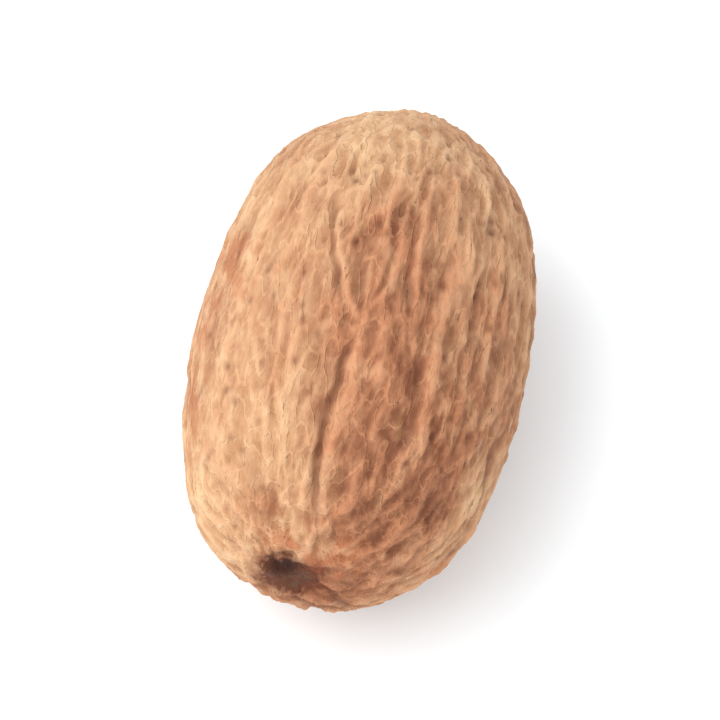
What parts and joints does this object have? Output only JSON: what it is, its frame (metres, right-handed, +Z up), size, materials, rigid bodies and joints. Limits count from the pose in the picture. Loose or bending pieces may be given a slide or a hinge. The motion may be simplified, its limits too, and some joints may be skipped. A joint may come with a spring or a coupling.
{
  "type": "whole nutmeg",
  "caption": "Whole dried nutmeg lying on its side: a blunt oval brown seed with lengthwise furrows and raised veins, a dark scar at one end and a pale disc at the other.",
  "frame": {"origin": "middle of the seed's box in plan, on the small worn flat spot that it rests on", "axes": "+Y along the seed towards the hilum, the pale disc; -Y towards the chalaza, the dark scar; +Z up from the flat spot"},
  "size_m": [0.0182, 0.029, 0.0177],
  "materials": {
    "seed": "dry, matt, cream-brown veins over browner furrows"
  },
  "bodies": {
    "root": {"nutmeg": "seed"}
  },
  "joints": []
}
